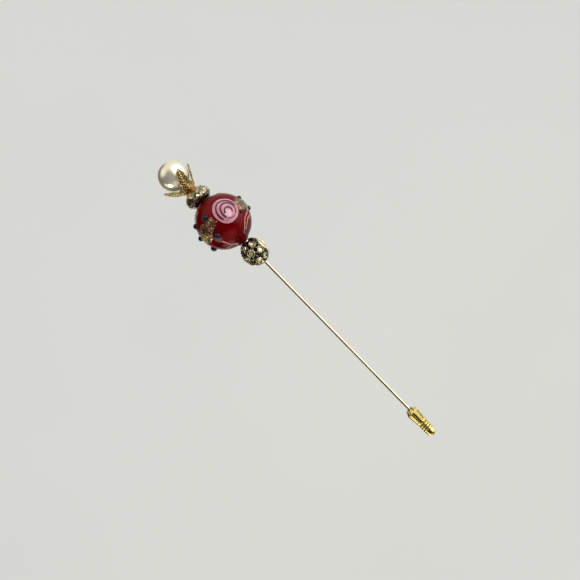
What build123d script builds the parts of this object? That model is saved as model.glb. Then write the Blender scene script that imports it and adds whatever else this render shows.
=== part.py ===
"""Hat pin: a wire pin with five beads glued on its head and a push-on clutch over its point.

Millimetres. +Z runs along the pin, towards the head. The origin is on the pin's axis where the bare
wire leaves the lowest bead. The side with the first rose faces -Y.
"""

from build123d import *

import os
from math import acos, atan2, cos, degrees, radians, sin, tan

# Wire pin
WIRE_R = 0.5
WIRE_BARE = 66.5  # parallel wire below the beads
TAPER_LENGTH = 6.0
TAPER_END_R = 0.4
POINT_LENGTH = 3.5
POINT_END_R = 0.05
GLUE_GROOVE_R = 0.3
GLUE_GROOVE_LENGTH = 0.8

# The hand-made head isn't quite straight: the wire bends under the beads and again under the cap
HEAD_LEAN = -2.0  # degrees about Y, at the origin
CAP_LEAN = -5.0  # degrees about Y, at the cap's base
CAP_LIFT = 0.16  # the leaning cap's middle above the rondelle
BEND_R = 3.0

# Flower bead, a hollow ball of two pierced domes and a plain band
BALL_R = 4.75
BALL_WALL = 0.5
BAND_WIDTH = 1.3
BAND_RELIEF = 0.08
BALL_TURN = -12.0
PETALS = 4
PETAL_RING_ANGLE = 34.0
PETAL_PIERCING_R = 0.28
CENTRE_PIERCING_R = 0.6

# Lampwork glass bead
GLASS_R = 9.2
GLASS_COLLAR_R = 2.1
GLASS_COLLAR_HEIGHT = 0.15  # at the flower bead only
GLASS_BORE_R = 0.95
ROSE_HALF_ANGLE = 28.0
ROSE_RELIEF = 0.45
PATCH_RELIEF = 0.25
STRINGER_R = 0.24

# Crystal rondelle
RONDELLE_R = 4.75
RONDELLE_HEIGHT = 4.9
RONDELLE_TABLE_R = 3.0
RONDELLE_BELT_HEIGHT = 1.9
RONDELLE_SIDES = 12
RONDELLE_BORE_R = 0.8

# Petal cap
CAP_HEIGHT = 7.0
CAP_BASE_R = 1.75
CAP_TIP_R = 5.7
CAP_WALL = 0.3
CAP_FLOOR = 0.5
CAP_HOLE_R = 0.55
CAP_PETALS = 4
CAP_TURN = 15.0
PETAL_WIDTH = 3.2

# Pearl
PEARL_R = 5.15
PEARL_LIFT = 2.5  # from the cap's base to the pearl's underside
PEARL_HOLE_R = 0.6
PEARL_HOLE_DEPTH = 5.0

# Clutch
CLUTCH_SHOULDER_R = 2.05
CLUTCH_CROWN_R = 1.15
CLUTCH_CROWN_HEIGHT = 0.95
CLUTCH_WAIST_R = 1.65
BARREL_LENGTH = 6.2
LIP = 0.5
LIP_HOLE_R = 0.75
CAVITY_R = 1.2
FLUTES = 6
FLUTE_WIDTH = 1.3
FLUTE_LENGTH = 3.9
FLUTE_DEPTH = 0.18
COLLAR_LENGTH = 2.7
COLLAR_RING_R = 1.75
COLLAR_GROOVE_R = 1.45
COLLAR_RINGS = 3
END_CAP_R = 1.6
END_CAP_LENGTH = 2.6
END_WALL = 1.4
GRIP_CLEARANCE = 0.04
GRIP_BORE_R = WIRE_R + 0.02
GRIP_END_GAP = 0.06

# Stations along the pin
BALL_Z = BALL_R + BAND_RELIEF
GLASS_Z = 2 * BALL_Z + GLASS_COLLAR_HEIGHT + GLASS_R
RONDELLE_Z = GLASS_Z + GLASS_R + RONDELLE_HEIGHT / 2
RONDELLE_TOP_Z = RONDELLE_Z + RONDELLE_HEIGHT / 2
CAP_Z = RONDELLE_TOP_Z + CAP_LIFT
PEARL_Z = CAP_Z + PEARL_LIFT + PEARL_R
MOUTH_Z = -WIRE_BARE - 0.3

# Decoration on the lampwork bead: azimuth from -Y towards +X, and latitude towards the head, degrees
ROSES = ((18, 3), (133, 2), (-126, -1))
PATCHES = ((-45, 0, 9.2, 5.6), (74, -3, 7.0, 5.8), (184, 0, 6.0, 6.4))  # and width and height in mm
DOTS = (
    (-27, 21, 0.75),
    (-33, -24, 0.85),
    (-76, 32, 0.8),
    (-88, 10, 0.85),
    (-97, -25, 1.05),
    (44, -21, 0.6),
    (86, 14, 0.8),
    (92, -15, 0.85),
    (160, 24, 0.75),
    (158, -22, 0.8),
    (209, 22, 0.8),
    (207, -23, 0.75),
)
STRINGERS = (
    ((88, -29), (55, -38), (24, -61)),
    ((96, -34), (72, -47), (42, -62)),
    ((-38, -34), (-41, -51), (-33, -70)),
    ((-56, -52), (-68, -50), (-82, -43)),
    ((-100, 38), (-84, 52), (-52, 60)),
    ((104, 32), (82, 52), (60, 50)),
    ((150, -36), (172, -48), (196, -62)),
    ((214, 34), (190, 52), (160, 48)),
)


def heading(azimuth, latitude):
    """Unit vector on the lampwork bead."""
    a = radians(azimuth)
    b = radians(latitude)
    return Vector(sin(a) * cos(b), -cos(a) * cos(b), sin(b))


def on_glass(shape, azimuth, latitude):
    """Move a decoration made at the ball's -Y side to its place on the lampwork bead."""
    return Pos(0, 0, GLASS_Z) * Rot(0, 0, azimuth) * Rot(-latitude, 0, 0) * shape


def on_axis(radius, z_from, z_to):
    """A round bar on the pin's axis."""
    bar = Cylinder(radius, z_to - z_from, align=(Align.CENTER, Align.CENTER, Align.MIN))
    return Pos(0, 0, z_from) * bar


def turned(points):
    """A solid of revolution from (radius, height) corners."""
    corners = [(r, 0, z) for r, z in points]
    return revolve(make_face(Polyline(*corners, close=True)), Axis.Z)


def group(solids):
    """Separate solids that share one node."""
    return Compound(children=[s for part in solids for s in part.solids()])


def in_head(shape):
    """Turn a shape made on the pin's axis into the leaning head."""
    solids = [Rot(0, HEAD_LEAN, 0) * s for s in shape.solids()]
    return solids[0] if len(solids) == 1 else group(solids)


def on_cap(shape):
    """Turn a shape made on the head's axis into the cap's own lean."""
    return Pos(0, 0, CAP_Z) * Rot(0, CAP_LEAN, 0) * Pos(0, 0, -CAP_Z) * shape


def head_wire():
    """The wire in the beads, with its bend under the cap."""
    lean = radians(-CAP_LEAN)
    start_z = CAP_Z - BEND_R * tan(lean / 2)
    top = PEARL_LIFT + PEARL_HOLE_DEPTH - 0.3
    arc_end = Vector(-BEND_R * (1 - cos(lean)), 0, start_z + BEND_R * sin(lean))
    arc_middle = Vector(-BEND_R * (1 - cos(lean / 2)), 0, start_z + BEND_R * sin(lean / 2))
    straight = Line((0, 0, GLUE_GROOVE_LENGTH), (0, 0, start_z))
    bend = ThreePointArc((0, 0, start_z), arc_middle, arc_end)
    leaning = Line(arc_end, Vector(-sin(lean) * top, 0, CAP_Z + cos(lean) * top))
    section = Plane.XY.offset(GLUE_GROOVE_LENGTH) * Circle(WIRE_R)
    return sweep(section, path=Wire([straight, bend, leaning]))


def shank():
    """The wire: the point, the taper, the bare length, a glue groove, and the wire in the beads."""
    taper_z = -WIRE_BARE
    point_z = taper_z - TAPER_LENGTH
    tip_z = point_z - POINT_LENGTH
    core_z = GLUE_GROOVE_LENGTH + 0.1
    bare = turned(
        [
            (0, tip_z),
            (POINT_END_R, tip_z),
            (TAPER_END_R, point_z),
            (WIRE_R, taper_z),
            (WIRE_R, 0),
            (GLUE_GROOVE_R, 0),
            (GLUE_GROOVE_R, core_z),
            (0, core_z),
        ]
    )
    return bare + in_head(head_wire())


def flower_ball():
    """Front dome, back dome and band of the hollow ball. The domes face -Y and +Y, turned a little."""
    wire_hole = on_axis(WIRE_R, -1, 2 * BALL_Z + 1)
    place = Pos(0, 0, BALL_Z) * Rot(0, 0, BALL_TURN)
    shell = Sphere(BALL_R) - Sphere(BALL_R - BALL_WALL)
    half = Box(4 * BALL_R, 2 * BALL_R, 4 * BALL_R, align=(Align.CENTER, Align.MAX, Align.CENTER))
    dome = shell & Pos(0, -BAND_WIDTH / 2, 0) * half
    bore = Cylinder(CENTRE_PIERCING_R, 2 * BALL_R, align=(Align.CENTER, Align.CENTER, Align.MIN))
    dome -= Rot(90, 0, 0) * bore
    pin_hole = Cylinder(PETAL_PIERCING_R, 2 * BALL_R, align=(Align.CENTER, Align.CENTER, Align.MIN))
    for i in range(PETALS):
        dome -= Rot(0, 360 / PETALS * (i + 0.5), 0) * Rot(90 - PETAL_RING_ANGLE, 0, 0) * pin_hole
    rim = BALL_R + BAND_RELIEF
    band = Rot(90, 0, 0) * (Cylinder(rim, BAND_WIDTH) - Cylinder(BALL_R - BALL_WALL, BAND_WIDTH))
    back = Rot(0, 0, 180) * dome
    return place * dome, place * back, place * band - wire_hole


def glass_core():
    """Ruby glass ball with a small collar where its bore meets the flower bead."""
    ball = Sphere(GLASS_R) + on_axis(GLASS_COLLAR_R, -GLASS_R - GLASS_COLLAR_HEIGHT, GLASS_R)
    return Pos(0, 0, GLASS_Z) * (ball - Cylinder(GLASS_BORE_R, 3 * GLASS_R))


def lens(offset, radius):
    """The part of a small sphere that stands out of the ball. Its centre is at offset along -Y."""
    cosine = (offset**2 + GLASS_R**2 - radius**2) / (2 * offset * GLASS_R)
    edge = acos(cosine)
    sweep_angle = atan2(GLASS_R * sin(edge), GLASS_R * cosine - offset)
    half = sweep_angle / 2
    top = (0, -offset - radius)
    rim = (GLASS_R * sin(edge), -GLASS_R * cosine)
    seat = (0, -GLASS_R)
    outer = ThreePointArc(top, (radius * sin(half), -offset - radius * cos(half)), rim)
    inner = ThreePointArc(rim, (GLASS_R * sin(edge / 2), -GLASS_R * cos(edge / 2)), seat)
    return revolve(make_face([outer, inner, Line(seat, top)]), Axis.Y)


def rose(azimuth, latitude):
    """A low lens of glass whose rim is a circle on the ball."""
    top = GLASS_R + ROSE_RELIEF
    slope = 2 * (top - GLASS_R * cos(radians(ROSE_HALF_ANGLE)))
    offset = (top**2 - GLASS_R**2) / slope
    return on_glass(lens(offset, top - offset), azimuth, latitude)


def patch(azimuth, latitude, width, height):
    """A thin oval of goldstone on the ball."""
    prism = extrude(Plane.XZ * Ellipse(width / 2, height / 2), amount=2 * GLASS_R)
    skin = Sphere(GLASS_R + PATCH_RELIEF) - Sphere(GLASS_R)
    return on_glass(skin & prism, azimuth, latitude)


def dot(azimuth, latitude, radius):
    """A raised bead of dark glass, standing out by four fifths of its radius."""
    return on_glass(lens(GLASS_R - 0.2 * radius, radius), azimuth, latitude)


def stringer(*places):
    """A thin thread of goldstone laid on the ball through three places."""
    start, middle, end = (heading(*p) * (GLASS_R + 0.02) for p in places)
    path = ThreePointArc(start, middle, end)
    section = Plane(origin=start, z_dir=path % 0) * Circle(STRINGER_R)
    return Pos(0, 0, GLASS_Z) * (sweep(section, path=path) - Sphere(GLASS_R))


def rondelle():
    """Two crossed pyramids, half a side apart, cut by a prism that leaves a faceted belt."""
    rise = (RONDELLE_HEIGHT - RONDELLE_BELT_HEIGHT) / 2
    wide_r = RONDELLE_TABLE_R + (RONDELLE_R - RONDELLE_TABLE_R) / rise * RONDELLE_HEIGHT
    half_side = 180 / RONDELLE_SIDES
    top = RONDELLE_HEIGHT / 2
    table = Pos(0, 0, top) * RegularPolygon(RONDELLE_TABLE_R, RONDELLE_SIDES, major_radius=False)
    skirt = Pos(0, 0, -top) * RegularPolygon(wide_r, RONDELLE_SIDES, major_radius=False)
    upper = loft([table.faces()[0], skirt.faces()[0]], ruled=True)
    lower = Rot(0, 0, half_side) * Rot(180, 0, 0) * upper
    belt = Pos(0, 0, -top) * extrude(
        RegularPolygon(RONDELLE_R, 2 * RONDELLE_SIDES, major_radius=False), amount=RONDELLE_HEIGHT
    )
    body = upper & lower & belt
    return Pos(0, 0, RONDELLE_Z) * (body - Cylinder(RONDELLE_BORE_R, 2 * RONDELLE_HEIGHT))


def petal_cap():
    """A thin flared cup whose wall is cut into pointed petals, on a small floor with a wire hole."""
    profile = [
        (CAP_BASE_R, 0),
        (3.05, 1.6),
        (4.4, 3.8),
        (5.2, 5.5),
        (CAP_TIP_R, CAP_HEIGHT),
        (CAP_TIP_R - CAP_WALL, CAP_HEIGHT),
        (5.2 - CAP_WALL * 1.1, 5.5),
        (4.4 - CAP_WALL * 1.3, 3.8),
        (3.05 - CAP_WALL * 1.5, 1.6),
        (CAP_BASE_R - CAP_WALL, CAP_FLOOR),
        (CAP_HOLE_R, CAP_FLOOR),
        (CAP_HOLE_R, 0),
    ]
    cup = turned(profile)
    keep = on_axis(CAP_BASE_R + 0.35, -1, 0.9)
    half = PETAL_WIDTH / 2
    outline = Polyline(
        (0, CAP_HEIGHT + 0.01),
        (-half * 0.72, 5.0),
        (-half, 3.0),
        (-half * 0.8, 0.8),
        (-half * 0.5, -1),
        (half * 0.5, -1),
        (half * 0.8, 0.8),
        (half, 3.0),
        (half * 0.72, 5.0),
        close=True,
    )
    blade = extrude(Plane.XZ * make_face(outline), amount=2 * CAP_TIP_R)
    for i in range(CAP_PETALS):
        keep += Rot(0, 0, CAP_TURN + 360 / CAP_PETALS * i) * blade
    return on_cap(Pos(0, 0, CAP_Z) * (cup & keep))


def pearl():
    """Half-drilled pearl."""
    hole = on_axis(PEARL_HOLE_R, PEARL_Z - PEARL_R - 1, PEARL_Z - PEARL_R + PEARL_HOLE_DEPTH)
    return on_cap(Pos(0, 0, PEARL_Z) * Sphere(PEARL_R) - hole)


def glue_sleeve(radius, z_from, z_to):
    """Cured glue between the wire and a bead's bore."""
    return on_axis(radius, z_from, z_to) - on_axis(WIRE_R, z_from - 1, z_to + 1)


def bead_glue():
    """The glue in the lampwork bead, the rondelle and the pearl."""
    underside = PEARL_Z - PEARL_R
    return group(
        [
            glue_sleeve(GLASS_BORE_R, GLASS_Z - GLASS_R - GLASS_COLLAR_HEIGHT, GLASS_Z + GLASS_R),
            glue_sleeve(RONDELLE_BORE_R, GLASS_Z + GLASS_R, RONDELLE_TOP_Z - 0.3),
            on_cap(glue_sleeve(PEARL_HOLE_R, underside + 0.1, underside + PEARL_HOLE_DEPTH - 0.4)),
        ]
    )


def clutch_barrel():
    """Fluted tube with a notched crown round its mouth, over most of the grip."""
    shoulder_z = MOUTH_Z - CLUTCH_CROWN_HEIGHT
    end_z = MOUTH_Z - BARREL_LENGTH
    tube = turned(
        [
            (LIP_HOLE_R, MOUTH_Z),
            (CLUTCH_CROWN_R, MOUTH_Z),
            (CLUTCH_SHOULDER_R - 0.1, shoulder_z + 0.2),
            (CLUTCH_SHOULDER_R, shoulder_z),
            (CLUTCH_WAIST_R, end_z + 0.3),
            (COLLAR_GROOVE_R, end_z + 0.15),
            (COLLAR_GROOVE_R, end_z),
            (CAVITY_R, end_z),
            (CAVITY_R, MOUTH_Z - LIP - 0.25),
            (LIP_HOLE_R, MOUTH_Z - LIP - 0.25),
        ]
    )
    tilt = degrees(atan2(CLUTCH_SHOULDER_R - CLUTCH_WAIST_R, BARREL_LENGTH))
    panel = Box(1, FLUTE_WIDTH, FLUTE_LENGTH, align=(Align.MIN, Align.CENTER, Align.MAX))
    notch = Pos(CLUTCH_SHOULDER_R, 0, MOUTH_Z) * Rot(0, 90, 0) * Cylinder(0.45, 1.5)
    for i in range(FLUTES):
        turn = Rot(0, 0, 360 / FLUTES * (i + 0.5))
        at = Pos(CLUTCH_SHOULDER_R - FLUTE_DEPTH - 0.04, 0, shoulder_z)
        tube -= turn * at * Rot(0, tilt, 0) * panel
        tube -= turn * notch
    return tube


def clutch_collar():
    """Turned rings with grooves between them."""
    top = MOUTH_Z - BARREL_LENGTH
    pitch = COLLAR_LENGTH / COLLAR_RINGS
    outline = [(CAVITY_R, top), (COLLAR_GROOVE_R, top)]
    for i in range(COLLAR_RINGS):
        ring_z = top - pitch * (i + 0.5)
        outline += [
            (COLLAR_GROOVE_R, ring_z + 0.35),
            (COLLAR_RING_R, ring_z + 0.18),
            (COLLAR_RING_R, ring_z - 0.18),
            (COLLAR_GROOVE_R, ring_z - 0.35),
        ]
    outline += [(COLLAR_GROOVE_R, top - COLLAR_LENGTH), (CAVITY_R, top - COLLAR_LENGTH)]
    return turned(outline)


def clutch_end_cap():
    """Closed domed end."""
    top = MOUTH_Z - BARREL_LENGTH - COLLAR_LENGTH
    straight = END_CAP_LENGTH - END_CAP_R
    body = on_axis(END_CAP_R, top - straight, top) + Pos(0, 0, top - straight) * Sphere(END_CAP_R)
    body -= on_axis(2 * END_CAP_R, top, top + END_CAP_R)
    return body - on_axis(CAVITY_R, top - END_CAP_LENGTH + END_WALL, top + 1)


def clutch_grip():
    """Nylon sleeve inside the clutch. Its bore holds the wire by friction."""
    top = MOUTH_Z - LIP - 0.25 - GRIP_END_GAP
    floor = MOUTH_Z - BARREL_LENGTH - COLLAR_LENGTH - END_CAP_LENGTH + END_WALL
    body = on_axis(CAVITY_R - GRIP_CLEARANCE, floor + GRIP_END_GAP, top)
    return body - on_axis(GRIP_BORE_R, floor - 1, top + 1)


def model():
    """Every node by name."""
    dots = [dot(*d) for d in DOTS]
    roses = [rose(*r) for r in ROSES]
    patches = [patch(*p) for p in PATCHES]
    for d in dots:
        patches = [p - d for p in patches]
    threads = [stringer(*s) for s in STRINGERS]
    for other in dots + roses + patches:
        threads = [t - other for t in threads]
    front, back, band = flower_ball()
    head = {
        "flower_bead_front": front,
        "flower_bead_back": back,
        "flower_bead_band": band,
        "ruby_glass_core": glass_core(),
        "glass_dots": group(dots),
        "goldstone_stringers": group(threads),
        "crystal_rondelle": rondelle(),
        "petal_cap": petal_cap(),
        "pearl": pearl(),
        "bead_glue": bead_glue(),
    }
    head |= {f"rose_{i}": r for i, r in enumerate(roses, 1)}
    head |= {f"goldstone_patch_{i}": p for i, p in enumerate(patches, 1)}
    return {
        "shank": shank(),
        "clutch_barrel": clutch_barrel(),
        "clutch_collar": clutch_collar(),
        "clutch_end_cap": clutch_end_cap(),
        "clutch_grip": clutch_grip(),
        **{name: in_head(shape) for name, shape in head.items()},
    }


os.makedirs("parts", exist_ok=True)
for name, shape in model().items():
    export_step(shape, f"parts/{name}.step")
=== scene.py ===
"""Looks of the hat pin: pearl, petal cap, faceted rondelle, lampwork bead, flower ball, wire and clutch.

Metres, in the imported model's frame: +Z runs along the pin towards the head, and the first rose faces -Y.
"""

from math import atan2, cos, pi, radians, sin

import bmesh
import bpy
import numpy as np
from mathutils import Matrix, Vector, kdtree, noise


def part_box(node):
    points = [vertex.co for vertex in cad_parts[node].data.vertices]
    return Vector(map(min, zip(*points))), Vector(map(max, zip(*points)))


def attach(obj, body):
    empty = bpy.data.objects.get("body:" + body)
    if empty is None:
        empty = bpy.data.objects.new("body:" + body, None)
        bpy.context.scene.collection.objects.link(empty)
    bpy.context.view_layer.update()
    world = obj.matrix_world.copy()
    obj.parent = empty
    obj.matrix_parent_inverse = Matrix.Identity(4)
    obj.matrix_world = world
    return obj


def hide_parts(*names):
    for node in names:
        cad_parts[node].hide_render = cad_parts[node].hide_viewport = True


MM = 0.001

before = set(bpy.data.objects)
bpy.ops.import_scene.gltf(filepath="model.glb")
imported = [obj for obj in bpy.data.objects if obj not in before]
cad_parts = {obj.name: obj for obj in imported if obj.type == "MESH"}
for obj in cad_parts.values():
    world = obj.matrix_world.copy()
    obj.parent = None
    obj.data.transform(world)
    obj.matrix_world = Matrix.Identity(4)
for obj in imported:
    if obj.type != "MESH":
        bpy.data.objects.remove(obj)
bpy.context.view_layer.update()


def middle(node):
    """Centre of a CAD node's box."""
    low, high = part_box(node)
    return (low + high) / 2


def reach(node):
    """Half of a CAD node's width along X."""
    low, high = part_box(node)
    return (high - low).x / 2


# Places and sizes from the frame
GLASS_C = middle("ruby_glass_core")
GLASS_R = reach("ruby_glass_core")
HEAD_AXIS = GLASS_C.normalized()
BALL_C = HEAD_AXIS * middle("flower_bead_band").length
BALL_R = 4.75 * MM
RONDELLE_C = middle("crystal_rondelle")
RONDELLE_R = 4.6 * MM
RONDELLE_H = 4.9 * MM
CAP_LIFT = 0.16 * MM  # the leaning cap's foot above the rondelle
CAP_FOOT = RONDELLE_C + HEAD_AXIS * (RONDELLE_H / 2 + CAP_LIFT)
PEARL_C = middle("pearl")
PEARL_R = reach("pearl")
CAP_AXIS = (PEARL_C - CAP_FOOT).normalized()
WIRE_R = 0.5 * MM
WIRE_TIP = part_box("shank")[0].z
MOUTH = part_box("clutch_barrel")[1].z
BARREL_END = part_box("clutch_barrel")[0].z
COLLAR_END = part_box("clutch_collar")[0].z
CLUTCH_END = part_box("clutch_end_cap")[0].z


# ---------------------------------------------------------------- meshes


def grid_faces(rows, columns, wrap):
    """Quads of a grid of points, joined round on itself where wrap is true."""
    last = columns if wrap else columns - 1
    faces = []
    for i in range(rows - 1):
        for j in range(last):
            k = (j + 1) % columns
            faces.append((i * columns + j, i * columns + k, (i + 1) * columns + k, (i + 1) * columns + j))
    return faces


def mesh_object(name, points, faces, sharp=None):
    """A mesh object with doubles merged and normals outwards. sharp is the crease angle in degrees."""
    mesh = bpy.data.meshes.new(name)
    mesh.from_pydata([tuple(p) for p in points], [], faces)
    work = bmesh.new()
    work.from_mesh(mesh)
    bmesh.ops.remove_doubles(work, verts=work.verts, dist=1e-7)
    bmesh.ops.dissolve_degenerate(work, dist=1e-8, edges=work.edges)
    bmesh.ops.recalc_face_normals(work, faces=work.faces)
    work.to_mesh(mesh)
    work.free()
    if sharp == 0:
        mesh.shade_flat()
    else:
        mesh.shade_smooth()
        if sharp:
            mesh.set_sharp_from_angle(angle=radians(sharp))
    obj = bpy.data.objects.new(name, mesh)
    bpy.context.scene.collection.objects.link(obj)
    return obj


def coordinates(obj):
    """The mesh's points as an array."""
    co = np.zeros(len(obj.data.vertices) * 3, np.float32)
    obj.data.vertices.foreach_get("co", co)
    return co.reshape(-1, 3).astype(float)


def attribute(obj, name, values):
    """A number for each point, for the material to read."""
    made = obj.data.attributes.new(name, "FLOAT", "POINT")
    made.data.foreach_set("value", np.asarray(values, np.float32))


def smooth(edge0, edge1, x):
    """Smooth step from 0 at edge0 to 1 at edge1."""
    t = np.clip((x - edge0) / (edge1 - edge0), 0, 1)
    return t * t * (3 - 2 * t)


def rounded(profile, times=2):
    """A profile with its inner corners cut again and again, so that they read as rounded."""
    line = [np.array(p, float) for p in profile]
    for _ in range(times):
        cut = [line[0]]
        for a, b in zip(line[:-1], line[1:]):
            cut += [a * 0.75 + b * 0.25, a * 0.25 + b * 0.75]
        line = [*cut, line[-1]]
    return line


def finer(profile, step):
    """A profile with points no further apart than step."""
    line = [np.array(profile[0], float)]
    for a, b in zip(profile[:-1], profile[1:]):
        a, b = np.array(a, float), np.array(b, float)
        parts = max(1, int(np.ceil(np.linalg.norm(b - a) / step)))
        line += [a + (b - a) * (i + 1) / parts for i in range(parts)]
    return np.array(line)


def lathe(profile, columns, shape=None):
    """Rows of points round the Z axis from (radius, height). shape changes the radius by angle and height."""
    turn = np.linspace(0, 2 * pi, columns, endpoint=False)[None, :]
    radius = profile[:, 0][:, None] + 0 * turn
    height = profile[:, 1][:, None] + 0 * turn
    if shape:
        radius = shape(radius, turn, height)
    rows = np.stack([radius * np.cos(turn), radius * np.sin(turn), height], -1)
    return rows.reshape(-1, 3), grid_faces(len(profile), columns, True)


def leaning(points, centre, axis):
    """Points made round +Z, turned to an axis in the XZ plane and moved to their centre."""
    turn = np.array(Matrix.Rotation(atan2(axis.x, axis.z), 3, "Y"))
    return points @ turn.T + np.array(centre)


def upright(points, centre, axis):
    """The reverse of leaning."""
    turn = np.array(Matrix.Rotation(atan2(axis.x, axis.z), 3, "Y"))
    return (points - np.array(centre)) @ turn


def ride(obj, material, slot, body, *nodes):
    """Gives a piece its material, sets it on its body, and hides the CAD nodes that it stands for. Its slot is not
    used.
    """
    obj.data.materials.append(material)
    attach(obj, body)
    if nodes:
        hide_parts(*nodes)
    return obj


def lumps(points, scale, seed):
    """Smooth noise from -1 to 1 for an array of points."""
    shift = Vector((seed * 7.3, seed * 3.1, seed * 5.7))
    return np.array([noise.noise(Vector(p) * scale + shift) for p in points])


def heading(azimuth, latitude):
    """Unit vector: azimuth from -Y towards +X and latitude towards the head, in degrees."""
    a, b = radians(azimuth), radians(latitude)
    return Vector((sin(a) * cos(b), -cos(a) * cos(b), sin(b)))


# ---------------------------------------------------------------- materials


class Material:
    """A node material: principled shader, with short calls to add nodes.

    Scales of noise and cells are in cycles a metre, and bump distances are in metres.
    """

    def __init__(self, name, **settings):
        self.made = bpy.data.materials.new(name)
        self.made.use_nodes = True
        self.nodes = self.made.node_tree.nodes
        self.shader = self.nodes["Principled BSDF"]
        for key, value in settings.items():
            self.shader.inputs[key.replace("_", " ")].default_value = value

    def add(self, kind, **inputs):
        """A node. Inputs given as sockets are linked, and others are set."""
        node = self.nodes.new(kind)
        for key, value in inputs.items():
            if key.startswith("set_"):
                setattr(node, key[4:], value)
        for key, value in inputs.items():
            if not key.startswith("set_"):
                self.put(node.inputs[key.replace("_", " ")], value)
        return node

    def put(self, socket, value):
        """Links or sets a socket."""
        if isinstance(value, bpy.types.NodeSocket):
            self.made.node_tree.links.new(value, socket)
        else:
            socket.default_value = value

    def place(self):
        """The object's own coordinates."""
        return self.add("ShaderNodeTexCoord").outputs["Object"]

    def value(self, name):
        """A number stored on the mesh."""
        return self.add("ShaderNodeAttribute", set_attribute_name=name).outputs["Fac"]

    def noise(self, scale, detail=4.0, rough=0.55, stretch=(1, 1, 1)):
        """Noise from about 0 to 1."""
        place = self.add("ShaderNodeMapping", Vector=self.place(), Scale=stretch)
        made = self.add(
            "ShaderNodeTexNoise", Vector=place.outputs[0], Scale=scale, Detail=detail, Roughness=rough
        )
        return made.outputs["Fac"]

    def ramp(self, factor, *stops):
        """A colour ramp from (position, colour) stops."""
        node = self.add("ShaderNodeValToRGB", Fac=factor)
        elements = node.color_ramp.elements
        while len(elements) < len(stops):
            elements.new(0.5)
        for element, (position, colour) in zip(elements, stops):
            element.position = position
            element.color = (*colour, 1)
        return node.outputs["Color"]

    def mix(self, factor, a, b, blend="MIX"):
        """Two colours mixed."""
        node = self.nodes.new("ShaderNodeMix")
        node.data_type = "RGBA"
        node.blend_type = blend
        self.put(node.inputs[0], factor)
        self.put(node.inputs[6], a if isinstance(a, bpy.types.NodeSocket) else (*a, 1))
        self.put(node.inputs[7], b if isinstance(b, bpy.types.NodeSocket) else (*b, 1))
        return node.outputs[2]

    def span(self, value, low, high, start=0.0, end=1.0):
        """A number from start..end moved to low..high."""
        node = self.add("ShaderNodeMapRange")
        for socket, given in (
            ("Value", value), ("From Min", start), ("From Max", end), ("To Min", low), ("To Max", high)
        ):
            self.put(node.inputs[socket], given)
        return node.outputs["Result"]

    def vector(self, operation, a, b=(0, 0, 0)):
        """Vector arithmetic."""
        node = self.add("ShaderNodeVectorMath", set_operation=operation)
        self.put(node.inputs[0], a)
        self.put(node.inputs[1], b)
        return node.outputs[0]

    def cells(self, scale):
        """A random colour for each cell of broken flakes."""
        return self.add("ShaderNodeTexVoronoi", Vector=self.place(), Scale=scale).outputs["Color"]

    def facets(self, cells, tilt):
        """Tilts the surface at random, cell by cell."""
        lean = self.vector("MULTIPLY", self.vector("SUBTRACT", cells, (0.5, 0.5, 0.5)), (tilt, tilt, tilt))
        normal = self.vector("ADD", self.add("ShaderNodeNewGeometry").outputs["Normal"], lean)
        self.put(self.shader.inputs["Normal"], self.vector("NORMALIZE", normal))

    def part(self, colour, channel):
        """One channel of a colour."""
        return self.add("ShaderNodeSeparateColor", Color=colour).outputs[channel]

    def bump(self, height, distance, strength=1.0):
        """Relief of the given depth on the shader."""
        node = self.add("ShaderNodeBump", Height=height, Distance=distance, Strength=strength)
        previous = self.shader.inputs["Normal"]
        if previous.is_linked:
            self.put(node.inputs["Normal"], previous.links[0].from_socket)
        self.put(self.shader.inputs["Normal"], node.outputs["Normal"])


def pearl_coat():
    """Ivory nacre: a soft metallic lustre under a clear skin."""
    m = Material("pearl_coat", Metallic=0.7, Coat_Weight=0.1, Coat_Roughness=0.12)
    drift = m.noise(180, 3)
    colour = m.ramp(drift, (0.3, (0.83, 0.78, 0.59)), (0.55, (0.88, 0.84, 0.69)), (0.75, (0.90, 0.82, 0.71)))
    m.put(m.shader.inputs["Base Color"], colour)
    m.put(m.shader.inputs["Roughness"], m.span(m.noise(900, 4), 0.15, 0.21))
    m.bump(m.noise(1800, 2), 0.000004, 0.3)
    return m.made


def plating_with_hollow_shade(m, bright, mid, dark, rough):
    """Clouded plating, rubbed bright on its edges, with its hollows darkened: painted shade, and also patina on the
    antiqued ball. Gives its colour.
    """
    clouds = m.noise(1500, 5, 0.6)
    face = m.mix(m.span(clouds, 0, 1, 0.40, 0.64), mid, bright)
    m.put(m.shader.inputs["Roughness"], m.span(clouds, rough * 0.7, rough * 1.5))
    m.bump(m.noise(5200, 4), 0.00002, 0.5)
    # The marked hollows take the dark colour: painted shade, with patina as well on the ball.
    return m.mix(m.value("recess"), face, dark)


def stamped_gold():
    """Pressed gold-plated brass, warm and copper-coloured low down in the cup, with painted shade in the hollows
    between its veins.
    """
    m = Material("stamped_gold", Metallic=0.95)
    worn = plating_with_hollow_shade(m, (0.97, 0.80, 0.42), (0.46, 0.28, 0.05), (0.04, 0.024, 0.007), 0.11)
    m.put(m.shader.inputs["Base Color"], m.mix(m.span(m.value("warm"), 0, 0.6), worn, (0.42, 0.17, 0.03)))
    return m.made


def antique_gold():
    """Antiqued pale gold with patina in its hollows and black pits as painted shade, with an olive lacquer in the
    cups.
    """
    m = Material("antique_gold")
    worn = plating_with_hollow_shade(m, (0.95, 0.86, 0.66), (0.64, 0.54, 0.34), (0.010, 0.007, 0.005), 0.16)
    m.put(m.shader.inputs["Base Color"], m.mix(m.value("cup"), worn, (0.80, 0.72, 0.36)))
    m.put(m.shader.inputs["Metallic"], m.span(m.value("cup"), 1.0, 0.65))
    return m.made


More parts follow.
